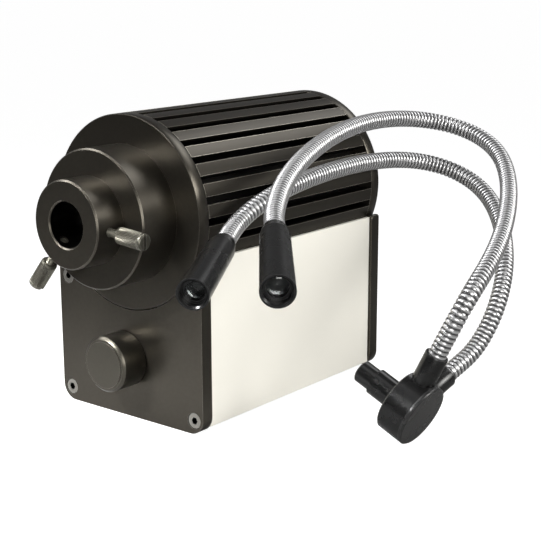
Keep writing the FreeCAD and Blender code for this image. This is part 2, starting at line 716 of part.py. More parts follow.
def make_lens(label, radius, thick, curve):
    """A lens, flat at its back and round at its front."""
    rim = cylinder(label + "_rim", radius, thick)
    ball = document.addObject("Part::Sphere", label + "_ball")
    ball.setExpression("Radius", bound(curve))
    put(ball, z="%s - %s" % (thick, curve))
    lens = document.addObject("Part::Common", label)
    lens.Label = label
    lens.Base = rim
    lens.Tool = ball
    return lens


def make_lamp():
    """Thermal pad, round board, lamp chip and two screws on the heat sink's front face."""
    board_back = front_inner + " - pad_thick"
    board_front = board_back + " - lamp_board_thick"
    holes = [("lamp_screw_spacing / 2", "0"), ("-lamp_screw_spacing / 2", "0")]
    for label, height, y in (("thermal_pad", "pad_thick", front_inner),
                             ("lamp_board", "lamp_board_thick", board_back)):
        body = new_body(label)
        sketch = new_sketch(body)
        draw_circle(sketch, "0", "0", "lamp_board_dia / 2")
        for x, z in holes:
            draw_circle(sketch, x, z, "lamp_screw_dia / 2 + fit")
        add_pad(body, sketch, height)
        put(body, y=y, z="axis_height", turn=FRONT)
    chip = box("lamp_chip", "emitter_size", "emitter_size", "emitter_height")
    put(chip, "-emitter_size / 2", board_front, "axis_height - emitter_size / 2", FRONT)
    screws = []
    for index, (x, z) in enumerate(holes):
        screw = socket_screw("lamp_screw_%d" % (index + 1), "lamp_screw", "lamp_screw_dia / 2 - fit / 2",
                             "lamp_screw_dia * 0.9", "lamp_head")
        screws.append(put(screw, x, board_front + " - lamp_head", "axis_height", FRONT))
    group("lamp_screws", screws)


def make_dimmer():
    """Dimmer, its nut, washer and shaft, and the knob with its grub screw."""
    housing = turned("dimmer", [
        ("0", "-dimmer_length"), ("dimmer_dia / 2", "-dimmer_length"), ("dimmer_dia / 2", "0"),
        ("bushing_dia / 2", "0"), ("bushing_dia / 2", "bushing_length"),
        ("shaft_dia / 2 + fit", "bushing_length"), ("shaft_dia / 2 + fit", "-dimmer_length / 2"),
        ("0", "-dimmer_length / 2"),
    ])
    shaft = cylinder("control_shaft", "shaft_dia / 2",
                     "dimmer_length / 2 - fit + plate_thick + knob_gap + knob_bore - fit")
    washer = turned("dimmer_washer", ring("bushing_dia / 2 + fit", "washer_dia / 2", "0", "washer_thick"))
    nut = cut("dimmer_nut", prism("dimmer_nut_blank", "nut_across", "nut_thick"),
              cylinder("dimmer_nut_hole", "bushing_dia / 2 + fit / 2", "nut_thick"))
    knob_blank = turned("knob_blank", [
        ("0", "knob_length"), ("knob_dia / 2 - knob_chamfer - knob_rim", "knob_length"),
        ("knob_dia / 2 - knob_chamfer - knob_rim", "knob_length - knob_rise"),
        ("knob_dia / 2 - knob_chamfer", "knob_length - knob_rise"),
        ("knob_dia / 2", "knob_length - knob_rise - knob_chamfer"), ("knob_dia / 2", "0"),
        ("knob_recess_dia / 2", "0"), ("knob_recess_dia / 2", "knob_recess"),
        ("shaft_dia / 2 + fit / 2", "knob_recess"), ("shaft_dia / 2 + fit / 2", "knob_bore"),
        ("0", "knob_bore"),
    ])
    grub_hole = cylinder("grub_hole", "screw_dia / 2", "knob_dia / 2")
    grub_turn = Rotation(UP, Vector(0, -1, 0))
    put(grub_hole, z="grub_up", turn=grub_turn)
    knob = cut("control_knob", knob_blank, grub_hole)
    grub_blank = cylinder("grub_blank", "screw_dia / 2 - fit / 2", "grub_length")
    grub_key = put(prism("grub_key", "grub_socket", "grub_socket_depth"), z="grub_length - grub_socket_depth")
    grub = cut("knob_grub_screw", grub_blank, grub_key)
    grub_back = front_face + " - knob_gap - grub_up"
    grub_height = "knob_up - shaft_dia / 2 - fit"
    put(grub, "knob_across", grub_back, grub_height, Rotation(UP, Vector(0, 0, -1)))
    shaft_back = front_inner + " + dimmer_length / 2 - fit"
    places = (
        (housing, front_inner), (shaft, shaft_back), (washer, front_face),
        (nut, front_face + " - washer_thick"), (knob, front_face + " - knob_gap"),
    )
    for piece, y in places:
        put(piece, "knob_across", y, "knob_up", FRONT)


def thumb_way(side):
    """The direction in which a thumbscrew points away from the light axis."""
    fall = math.radians(number(side + "_thumb_fall"))
    across = 1 if side == "right" else -1
    return Vector(across * math.cos(fall), 0, -math.sin(fall))


def make_thumbscrew(side):
    """A threaded stud and the slotted head that turns it."""
    turn = Rotation(UP, thumb_way(side))
    stud = cylinder(side + "_thumbscrew_stud", "stud_dia / 2", "thumb_base + thumb_hold - fit - " + stud_end)
    blank = turned(side + "_thumb_blank", [
        ("stud_dia / 2 + fit", "0"), ("thumb_dia / 2 - edge_break", "0"), ("thumb_dia / 2", "edge_break"),
        ("thumb_dia / 2", "thumb_length - edge_break"), ("thumb_dia / 2 - edge_break", "thumb_length"),
        ("0", "thumb_length"), ("0", "thumb_hold"), ("stud_dia / 2 + fit", "thumb_hold"),
    ])
    slot = box(side + "_thumb_slot", "thumb_dia + 2", "thumb_slot_width", "thumb_slot_depth + 1")
    put(slot, "-thumb_dia / 2 - 1", "-thumb_slot_width / 2", "thumb_length - thumb_slot_depth")
    head = cut(side + "_thumbscrew_head", blank, slot)
    front = front_face + " - %s_thumb_front" % side
    for piece, reach in ((stud, number(stud_end)), (head, number("thumb_base"))):
        way = thumb_way(side) * reach
        put(piece, "%.4f" % way.x, front, "axis_height + %.4f" % way.z, turn)


def make_rear_fittings():
    """Power inlet with its nut, and the rocker switch."""
    inlet_blank = turned("inlet_blank", [
        ("0", "-plate_thick - inlet_body_length"), ("inlet_body_dia / 2", "-plate_thick - inlet_body_length"),
        ("inlet_body_dia / 2", "-plate_thick"), ("inlet_neck_dia / 2", "-plate_thick"),
        ("inlet_neck_dia / 2", "inlet_neck_out"), ("inlet_bore_dia / 2", "inlet_neck_out"),
        ("inlet_bore_dia / 2", "inlet_neck_out - inlet_bore_depth"),
        ("inlet_pin_dia / 2", "inlet_neck_out - inlet_bore_depth"),
        ("inlet_pin_dia / 2", "inlet_neck_out - 1"), ("0", "inlet_neck_out - 1"),
    ])
    inlet_blank.Label = "power_inlet"
    nut = cut("power_inlet_nut", prism("inlet_nut_blank", "inlet_nut_across", "inlet_nut_thick"),
              cylinder("inlet_nut_hole", "inlet_neck_dia / 2 + fit / 2", "inlet_nut_thick"))
    for piece in (inlet_blank, nut):
        put(piece, "inlet_across", rear_face, "inlet_up", REAR)

    frame = new_body("switch_frame")
    back = new_sketch(frame, offset="-switch_body_depth")
    draw_outline(back, rectangle("-switch_body_width / 2", "-switch_body_height / 2",
                                 "switch_body_width / 2", "switch_body_height / 2"))
    add_pad(frame, back, "switch_body_depth")
    face = new_sketch(frame)
    draw_outline(face, rectangle("-bezel_width / 2", "-bezel_height / 2",
                                 "bezel_width / 2", "bezel_height / 2"))
    add_pad(frame, face, "bezel_thick")
    well = new_sketch(frame, offset="bezel_thick")
    draw_outline(well, rectangle(
        "-rocker_width / 2 - rocker_side_gap", "-rocker_height / 2 - rocker_gap",
        "rocker_width / 2 + rocker_side_gap", "rocker_height / 2 + rocker_gap"))
    add_pocket(frame, well, "bezel_thick + rocker_well")
    seats = new_sketch(frame, "YZ_Plane", "rocker_width / 2 + trunnion_length + fit")
    draw_circle(seats, "0", "0", "trunnion_dia / 2 + fit")
    add_pocket(frame, seats, "rocker_width + 2 * (trunnion_length + fit)")
    put(frame, "switch_across", rear_face, "switch_up", REAR)

    rocker = new_body("switch_rocker")
    side = new_sketch(rocker, "YZ_Plane", "-rocker_width / 2")
    draw_outline(side, [
        ("-rocker_height / 2", "rocker_proud"), ("-rocker_height / 2 + rocker_taper", "-rocker_depth"),
        ("rocker_height / 2 - rocker_taper", "-rocker_depth"), ("rocker_height / 2", "rocker_proud"),
        ("0", "rocker_dip"),
    ])
    add_pad(rocker, side, "rocker_width")
    trunnions = new_sketch(rocker, "YZ_Plane", "-rocker_width / 2 - trunnion_length")
    draw_circle(trunnions, "0", "0", "trunnion_dia / 2")
    add_pad(rocker, trunnions, "rocker_width + 2 * trunnion_length")
    swing = Rotation(Vector(1, 0, 0), number("rocker_swing"))
    put(rocker, "switch_across", rear_face, "switch_up", REAR.multiply(swing))


def board_places():
    """The four pillar places under the driver board, seen from above."""
    across = "(board_width / 2 - standoff_inset)"
    along = "(board_length / 2 - standoff_inset)"
    return [(sx + across, "board_shift %s %s" % (sy, along)) for sx in ("-", "") for sy in ("-", "+")]


def make_driver():
    """Driver board on four pillars, with its coil, capacitors and terminal blocks."""
    board = new_body("driver_board")
    sketch = new_sketch(board)
    draw_outline(sketch, rectangle("-board_width / 2", "board_shift - board_length / 2",
                                   "board_width / 2", "board_shift + board_length / 2"))
    add_pad(board, sketch, "board_thick")
    drill(board, board_places(), "board_screw_dia / 2 + fit", "board_thick")
    board_low = case_floor + " + standoff_height"
    board_top = board_low + " + board_thick"
    put(board, z=board_low)

    pillars, screws = [], []
    for index, (x, y) in enumerate(board_places()):
        pillar = turned("pillar_%d" % (index + 1),
                        ring("board_screw_dia / 2", "standoff_dia / 2", "0", "standoff_height"))
        pillars.append(put(pillar, x, y, case_floor))
        screw = socket_screw("board_screw_%d" % (index + 1),
                             "board_thick + standoff_height + case_wall - board_screw_end",
                             "board_screw_dia / 2 - fit / 2", "board_screw_dia * 0.9", "board_head")
        screws.append(put(screw, x, y, board_top + " + board_head"))
    group("board_pillars", pillars)
    group("board_screws", screws)

    coil = turned("driver_coil", ring("coil_hole / 2", "coil_dia / 2", "0", "coil_height"))
    put(coil, "coil_across", "board_shift + coil_along", board_top)
    capacitors = []
    for name in ("first_capacitor", "second_capacitor"):
        can = cylinder(name + "_can", "capacitor_dia / 2", "capacitor_height")
        capacitors.append(put(can, "capacitor_across", "board_shift + " + name, board_top))
    group("driver_capacitors", capacitors)
    blocks = []
    ends = (("front_terminal", "board_shift - board_length / 2 + terminal_inset"),
            ("rear_terminal", "board_shift + board_length / 2 - terminal_inset - terminal_depth"))
    for name, y in ends:
        block = box(name + "_block", "terminal_width", "terminal_depth", "terminal_height")
        blocks.append(put(block, name + " - terminal_width / 2", y, board_top))
    group("terminal_blocks", blocks)


def lead_wire(points, radius):
    """Straight runs joined by tangent arcs of one radius through the given corners."""
    edges, start = [], points[0]
    for before, corner, after in zip(points, points[1:], points[2:]):
        inward = (corner - before).normalize()
        outward = (after - corner).normalize()
        half = inward.getAngle(outward) / 2
        setback = radius * math.tan(half)
        first, last = corner - inward * setback, corner + outward * setback
        bisector = (outward - inward).normalize()
        middle = corner + bisector * (radius / math.cos(half) - radius)
        edges += [Part.LineSegment(start, first).toShape(), Part.Arc(first, middle, last).toShape()]
        start = last
    edges.append(Part.LineSegment(start, points[-1]).toShape())
    return Part.Wire(edges)


def make_lead(label, points, bend):
    """A lead inside the case, from its first terminal to its last."""
    radius = number("lead_dia / 2")
    wire = lead_wire(points, bend)
    way = (points[1] - points[0]).normalize()
    section = Part.Wire(Part.Circle(points[0], way, radius).toShape())
    solid(label, wire.makePipeShell([section], True, False))


def make_leads():
    """Lamp lead through the heat sink's slot, and the lead from the power inlet."""
    terminal_top = number(case_floor + " + standoff_height + board_thick + terminal_height + lead_gap")
    slot_middle = number(front_inner + " + wire_slot_depth / 2")
    below_cradles = number(saddle_low + " - lead_drop")
    over_front = number("board_shift - board_length / 2 + terminal_inset + terminal_depth / 2")
    across = number("front_terminal")
    make_lead("lamp_lead", [
        Vector(0, slot_middle, number("axis_height - lamp_board_dia / 2")),
        Vector(0, slot_middle, below_cradles),
        Vector(across, over_front, below_cradles - number("lead_slope")),
        Vector(across, over_front, terminal_top),
    ], number("lamp_lead_bend"))
    over_rear = number("board_shift + board_length / 2 - terminal_inset - terminal_depth / 2")
    across = number("inlet_across")
    inlet_up = number("inlet_up")
    make_lead("supply_lead", [
        Vector(across, number(rear_inner + " - inlet_body_length - lead_gap"), inlet_up),
        Vector(across, over_rear, inlet_up + number("lead_rise")),
        Vector(across, over_rear, terminal_top),
    ], number("supply_lead_bend"))


# The light guide has its own axes: Z along the ferrule, X up and Y level
guide_turn = Rotation(Vector(0, 1, 0), number("guide_tilt") - 90)
guide_rise = number("manifold_dia / 2") * math.cos(math.radians(number("guide_tilt")))
guide_origin = Vector(number("guide_across"), number("guide_along"), guide_rise - number("plate_foot"))
guide_place = Placement(guide_origin, guide_turn)


def put_guide(piece, along="0", turn=LEVEL):
    """Place a piece of the guide at a distance from the cap's face."""
    offset = Placement(Vector(0, 0, number(along)), turn)
    piece.Placement = guide_place.multiply(offset)
    return piece


def sleeve_turn(side):
    """The rotation that points a sleeve out of the drum, in the guide's axes."""
    angle = math.radians(number(side + "_sleeve_turn"))
    return Rotation(UP, Vector(math.cos(angle), math.sin(angle), 0))


def make_manifold():
    """The branching drum, its cap, the ferrule, the fibres in it and the two sleeves."""
    drum_blank = turned("drum_blank", [
        ("manifold_hollow / 2", "cap_thick"), ("manifold_dia / 2", "cap_thick"),
        ("manifold_dia / 2", "manifold_length - edge_break"),
        ("manifold_dia / 2 - edge_break", "manifold_length"),
        ("shoulder_dia / 2 + fit", "manifold_length"),
        ("shoulder_dia / 2 + fit", "manifold_length - manifold_floor"),
        ("manifold_hollow / 2", "manifold_length - manifold_floor"),
    ])
    tools, sleeves = [], []
    for side in ("right", "left"):
        tool = cylinder("sleeve_hole_" + side, sleeve_radius + " + fit / 2", "manifold_dia")
        tools.append(put(tool, z="sleeve_back", turn=sleeve_turn(side)))
        end = side + "_sleeve_end"
        sleeve = turned(side + "_sleeve", [
            (bundle_radius + " + fit", "sleeve_base"), (sleeve_radius, "sleeve_base"),
            (sleeve_radius, end), (arm_seat, end),
            (arm_seat, end + " - hose_grip - fit"),
            (bundle_radius + " + fit", end + " - hose_grip - fit"),
        ])
        sleeves.append(put_guide(sleeve, "sleeve_back", sleeve_turn(side)))
    put_guide(cut("manifold_body", drum_blank, fuse("sleeve_holes", tools)))
    group("arm_sleeves", sleeves)

    cap = turned("manifold_cap", [
        ("0", "0"), ("manifold_dia / 2 - edge_break", "0"), ("manifold_dia / 2", "edge_break"),
        ("manifold_dia / 2", "cap_thick"), ("manifold_hollow / 2 - fit", "cap_thick"),
        ("manifold_hollow / 2 - fit", "cap_thick + cap_step"), ("0", "cap_thick + cap_step"),
    ])
    put_guide(cap)
    tail = "manifold_length - manifold_floor"
    shoulder = "manifold_length + shoulder_length"
    ferrule = turned("guide_ferrule", [
        ("ferrule_bore / 2", tail), ("shoulder_dia / 2", tail),
        ("shoulder_dia / 2", shoulder), ("ferrule_dia / 2", shoulder),
        ("ferrule_dia / 2", shoulder + " + ferrule_length - edge_break"),
        ("ferrule_dia / 2 - edge_break", shoulder + " + ferrule_length"),
        ("ferrule_bore / 2", shoulder + " + ferrule_length"),
    ])
    put_guide(ferrule)
    fibres = cylinder("ferrule_fibres", "ferrule_bore / 2 - fit",
                      "shoulder_length + ferrule_length + manifold_floor")
    put_guide(fibres, tail)


def b_spline(points, steps=24):
    """Points along an even cubic spline that the given points pull."""
    line = []
    for a, b, c, d in zip(points, points[1:], points[2:], points[3:]):
        for step in range(steps):
            u = step / steps
            line.append((a * (1 - u) ** 3 + b * (3 * u ** 3 - 6 * u ** 2 + 4)
                         + c * (3 * u - 3 * u ** 3 + 3 * u ** 2 + 1) + d * u ** 3) / 6)
    return line


def arm_line(side, neck, route):
    """An arm's centre line: straight, curved, then straight again into its tip."""
    start_way = guide_turn.multVec(sleeve_turn(side).multVec(UP))
    drum = guide_place.multVec(Vector(0, 0, number("sleeve_back")))
    mouth = drum + start_way * number(side + "_sleeve_end")
    end_way = tip_way(side)
    grip = number("hose_grip")
    leave, arrive = mouth + start_way * STRAIGHT_RUN, neck - end_way * STRAIGHT_RUN
    lead_out, lead_in = ROUTE_LEAD[side]
    pull = [leave] * 3 + [leave + start_way * lead_out]
    pull += [Vector(*point) for point in route]
    pull += [arrive - end_way * lead_in] + [arrive] * 3
    return [mouth - start_way * grip] + b_spline(pull) + [arrive, neck + end_way * grip]


def tip_way(side):
    """The direction in which a tip shines."""
    yaw = math.radians(number(side + "_tip_yaw"))
    dip = math.radians(number(side + "_tip_dip"))
    return Vector(math.sin(yaw) * math.cos(dip), -math.cos(yaw) * math.cos(dip), -math.sin(dip))


def stations(line, distances):
    """Place, direction and sideways direction at each distance along a line."""
    runs = [(b - a).Length for a, b in zip(line, line[1:])]
    ways = [(b - a).normalize() for a, b in zip(line, line[1:])]
    sideways = ways[0].cross(Vector(1, 0, 0)).normalize()
    found, index, passed = [], 0, 0.0
    for distance in distances:
        while index < len(runs) - 1 and passed + runs[index] < distance:
            passed += runs[index]
            index += 1
            sideways = (sideways - ways[index] * sideways.dot(ways[index])).normalize()
        found.append((line[index] + ways[index] * (distance - passed), ways[index], sideways))
    return found


def ring_wire(place, way, sideways, radius):
    circle = Part.Circle(place, way, radius)
    circle.XAxis = sideways
    return Part.Wire([circle.toShape()])


def make_hose(label, line):
    """A ribbed metal hose with its bore, one ruled band after another."""
    length = sum((b - a).Length for a, b in zip(line, line[1:]))
    count = round(length / number("rib_pitch"))
    pitch = length / count
    root, crest = number(hose_root), number("hose_dia / 2")
    distances, radii = [], []
    for rib in range(count):
        for share, radius in ((0, root), (0.2, crest), (0.6, crest), (0.8, root)):
            distances.append((rib + share) * pitch)
            radii.append(radius)
    distances.append(length)
    radii.append(root)
    places = stations(line, distances)
    outer = [ring_wire(*place, radius) for place, radius in zip(places, radii)]
    inner = [ring_wire(*place, number(hose_inside)) for place in places[:-1:8] + places[-1:]]
    faces = Part.makeLoft(outer, False, True).Faces + Part.makeLoft(inner, False, True).Faces
    for end in (0, -1):
        faces.append(Part.makeFace([outer[end], inner[end]], "Part::FaceMakerBullseye"))
    shell = Part.Shell(faces)
    shell.sewShape()
    solid(label, Part.Solid(shell))
    print(label, "length %.1f, ribs %d, least gap to itself %.2f" % (length, count, least_gap(line)))


def least_gap(line):
    """The least gap between stretches of a hose that aren't neighbours."""
    dense = stations(line, range(0, int(sum((b - a).Length for a, b in zip(line, line[1:]))), 3))
    reach = int(3 * number("hose_dia"))
    gaps = [(a[0] - b[0]).Length for index, a in enumerate(dense) for b in dense[index + reach:]]
    return min(gaps) - number("hose_dia")


def make_bundle(label, line):
    """The fibres inside an arm, from the drum's hollow to the tip's lens."""
    length = sum((b - a).Length for a, b in zip(line, line[1:]))
    steps = round(length / (2 * number("rib_pitch")))
    places = stations(line, [length * step / steps for step in range(steps + 1)])
    radius = number(bundle_radius)
    solid(label, Part.makeLoft([ring_wire(*place, radius) for place in places], True, True))


def make_tip(side, neck):
    """The light tip: housing, lens and the ring that holds it."""
    cell = "tip_length - tip_cell_depth"
    housing = turned(side + "_tip_housing", [
        (arm_seat, "0"), (arm_seat + " + tip_neck_wall", "0"),
        ("tip_shoulder_dia / 2", "tip_shoulder"), ("tip_end_dia / 2", "tip_length"),
        ("tip_cell_dia / 2 + edge_break", "tip_length"), ("tip_cell_dia / 2", "tip_length - edge_break"),
        ("tip_cell_dia / 2", cell), (bundle_radius + " + fit", cell),
        (bundle_radius + " + fit", "hose_grip + fit"), (arm_seat, "hose_grip + fit"),
    ])
    lens = make_lens(side + "_tip_lens", "tip_cell_dia / 2 - fit", "tip_lens_thick", "tip_lens_curve")
    holder = turned(side + "_tip_ring", ring("tip_ring_bore / 2", "tip_cell_dia / 2 - fit / 2",
                                             "0", "tip_ring_length"))
    turn = Rotation(UP, tip_way(side))
    lens_place = number(cell + " + tip_lens_seat")
    ring_place = lens_place + number("tip_lens_thick + fit")
    for piece, along in ((housing, 0), (lens, lens_place), (holder, ring_place)):
        piece.Placement = Placement(neck + tip_way(side) * along, turn)


def make_guide():
    make_manifold()
    for side, neck, route in (("right", RIGHT_NECK, RIGHT_ROUTE), ("left", LEFT_NECK, LEFT_ROUTE)):
        line = arm_line(side, neck, route)
        make_hose(side + "_gooseneck", line)
        start_way = (line[1] - line[0]).normalize()
        inner_end = line[0] - start_way * (number("%s_sleeve_end - hose_grip - sleeve_base" % side))
        outer_end = neck + tip_way(side) * (number("tip_length - tip_cell_depth"))
        make_bundle(side + "_fibre_bundle", [inner_end] + line[1:-1] + [outer_end])
        make_tip(side, neck)


make_case()
make_front_plate()
make_rear_plate()
plate_screws()
make_heat_sink()
make_front_flange()
make_rear_flange()
flange_screws()
make_saddles()
make_outlet()
make_lamp()
make_dimmer()
make_thumbscrew("right")
make_thumbscrew("left")
make_rear_fittings()
make_driver()
make_leads()
make_guide()
sheet.clear("D1")
document.recompute()

NODES = """
case_shell front_plate rear_plate end_plate_screws heat_sink front_flange rear_flange
front_flange_screws rear_flange_screws barrel_screws heat_sink_saddles saddle_screws
lens_barrel guide_collar ferrule_adapter condenser_lens lens_retainer
thermal_pad lamp_board lamp_chip lamp_screws
dimmer control_shaft dimmer_washer dimmer_nut control_knob knob_grub_screw
right_thumbscrew_stud right_thumbscrew_head left_thumbscrew_stud left_thumbscrew_head
power_inlet power_inlet_nut switch_frame switch_rocker
driver_board board_pillars board_screws driver_coil driver_capacitors terminal_blocks
lamp_lead supply_lead manifold_body manifold_cap guide_ferrule ferrule_fibres arm_sleeves
right_gooseneck left_gooseneck right_fibre_bundle left_fibre_bundle
right_tip_housing left_tip_housing right_tip_lens left_tip_lens right_tip_ring left_tip_ring
""".split()

for item in document.Objects:
    if "Invalid" in item.State or "Error" in item.State:
        raise RuntimeError("%s is %s" % (item.Label, item.State))

os.makedirs("parts", exist_ok=True)
for node in NODES:
    shape = document.getObjectsByLabel(node)[0].Shape
    if shape.isNull() or not shape.isValid():
        raise RuntimeError("%s has no valid shape" % node)
    shape.exportStep("parts/%s.step" % node)
print(len(NODES), "pieces written")
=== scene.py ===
import itertools
import math

import bpy
import numpy as np
from mathutils import Matrix, Vector


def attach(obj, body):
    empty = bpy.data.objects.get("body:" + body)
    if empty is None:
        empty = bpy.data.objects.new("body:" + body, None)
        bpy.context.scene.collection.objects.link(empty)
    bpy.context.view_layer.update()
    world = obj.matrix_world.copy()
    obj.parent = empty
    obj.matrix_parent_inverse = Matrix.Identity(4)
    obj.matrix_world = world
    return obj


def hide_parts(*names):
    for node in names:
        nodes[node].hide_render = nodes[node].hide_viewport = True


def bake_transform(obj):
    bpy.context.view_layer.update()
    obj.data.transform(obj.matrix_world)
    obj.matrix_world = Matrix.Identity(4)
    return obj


# Looks of the fibre optic illuminator, in metres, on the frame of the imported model.
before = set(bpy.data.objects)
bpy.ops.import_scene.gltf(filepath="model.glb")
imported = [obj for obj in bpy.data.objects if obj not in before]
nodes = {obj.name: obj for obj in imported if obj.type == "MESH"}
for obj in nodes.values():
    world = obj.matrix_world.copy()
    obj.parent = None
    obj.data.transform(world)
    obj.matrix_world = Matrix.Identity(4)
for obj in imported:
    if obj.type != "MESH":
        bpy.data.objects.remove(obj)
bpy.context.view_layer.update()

# Camera, as worked out from the photograph
CAMERA_PLACE = (0.31791, -0.37033, 0.15908)
CAMERA_AZIMUTH = 38.58
CAMERA_ELEVATION = 13.43
CAMERA_ROLL = -0.11
CAMERA_LENS = 85.39
CAMERA_SENSOR = 36
CAMERA_NEAR = 0.01

# Stage light
WORLD_LIGHT = 0.16
FLOOR_GLOW = 0.94
SKY_GLOW = 1.15
FLOOR_SIZE = 12
FLOOR_DROP = 0.0002
WARM = (1, 0.99, 0.96)

# Sizes that the pieces made here share with the solids
BENCH = -0.002
AXIS_HEIGHT = 0.0737
BARREL_RADIUS = 0.035
BORE_RADIUS = 0.00802
SCREW_FACE = 0.0538
FRONT_FACE = -0.054
DRUM_TILT = 24.5
DRUM_CAP = Vector((0.100, -0.014, 0.008464))
SLEEVE_BACK = 0.006
HOSE_RADIUS = 0.0033
HOSE_GRIP = 0.006
HOSE_SIDES = 24
RIB_PITCH = 0.0018
RIB_DEPTH = 0.00045
STRAIGHT_RUN = 0.007
BUNDLE_ROOT = 0.0076
BUNDLE_REACH = 0.024
BUNDLE_RADIUS = 0.0022
BUNDLE_SIDES = 16
STUD_RADIUS = 0.0015
STUD_TIP = 0.0083
STUD_LENGTH = 0.0164
THREAD_PITCH = 0.0005
THREAD_DEPTH = 0.00022
STUD_CHAMFER = 0.0006
THUMB_BASE = 0.0198
THUMB_LENGTH = 0.0118
THUMB_RADIUS = 0.0029
THUMB_SLOT = (0.0009, 0.0015)
THUMB_HOLD = 0.005
BORE_GAP = 0.0001
KNURL_DEPTH = 0.00022
KNURL_END = 0.01035
KNURL_TEETH = 36
SLOT_REACH = 0.004
CUT_MARGIN = 0.001

# One rib of an arm, from groove to groove: share of the pitch and depth of the groove
RIB_PROFILE = [(0.0, 1.0), (0.12, 0.70), (0.28, 0.20), (0.5, 0.0), (0.72, 0.20), (0.88, 0.70)]

# A thumbscrew's head: height, change of its radius, and whether the knurl is cut there
THUMB_PROFILE = [
    (0.0, -0.0006, 0), (0.0004, -0.0001, 0), (0.0008, 0, 0), (0.0009, 0, 1), (0.0048, 0, 1),
    (0.0102, 0, 1), (0.0103, 0, 0), (0.0105, -0.0003, 0), (0.0108, -0.0003, 0), (0.0110, 0, 0),
    (0.0114, 0, 0), (0.0118, -0.0005, 0),
]

# The arms' paths: neck, route, lead and the reach of the blend are in millimetres, angles in degrees
ARMS = {
    "right": {
        "sleeve_turn": 6, "sleeve_end": 0.022, "neck": (80, -70, 80), "yaw": 39.6, "dip": 11.8,
        "route": [(105, 33, 65), (74, 92, 88), (35, 93, 97), (34, 35, 101), (54, -30, 92)],
        "lead": (18.8, 9), "blend": ((0.090, 0.060, 0.076), 110),
    },
    "left": {
        "sleeve_turn": 66, "sleeve_end": 0.020, "neck": (50, -59, 70), "yaw": 27.6, "dip": 8.9,
        "route": [(105, 37, 51), (69, 88, 72), (36, 78, 83), (39, 16, 85), (44, -29, 81)],
        "lead": (13.6, 13.6), "blend": ((0.0854, 0.063, 0.0617), 117),
    },
}

# How far each thumbscrew points down, in degrees, its side of the outlet, and its place before the plate
THUMBSCREWS = {
    "right": {"fall": 5, "side": 1, "front": 0.0227},
    "left": {"fall": 50, "side": -1, "front": 0.0246},
}


# Materials

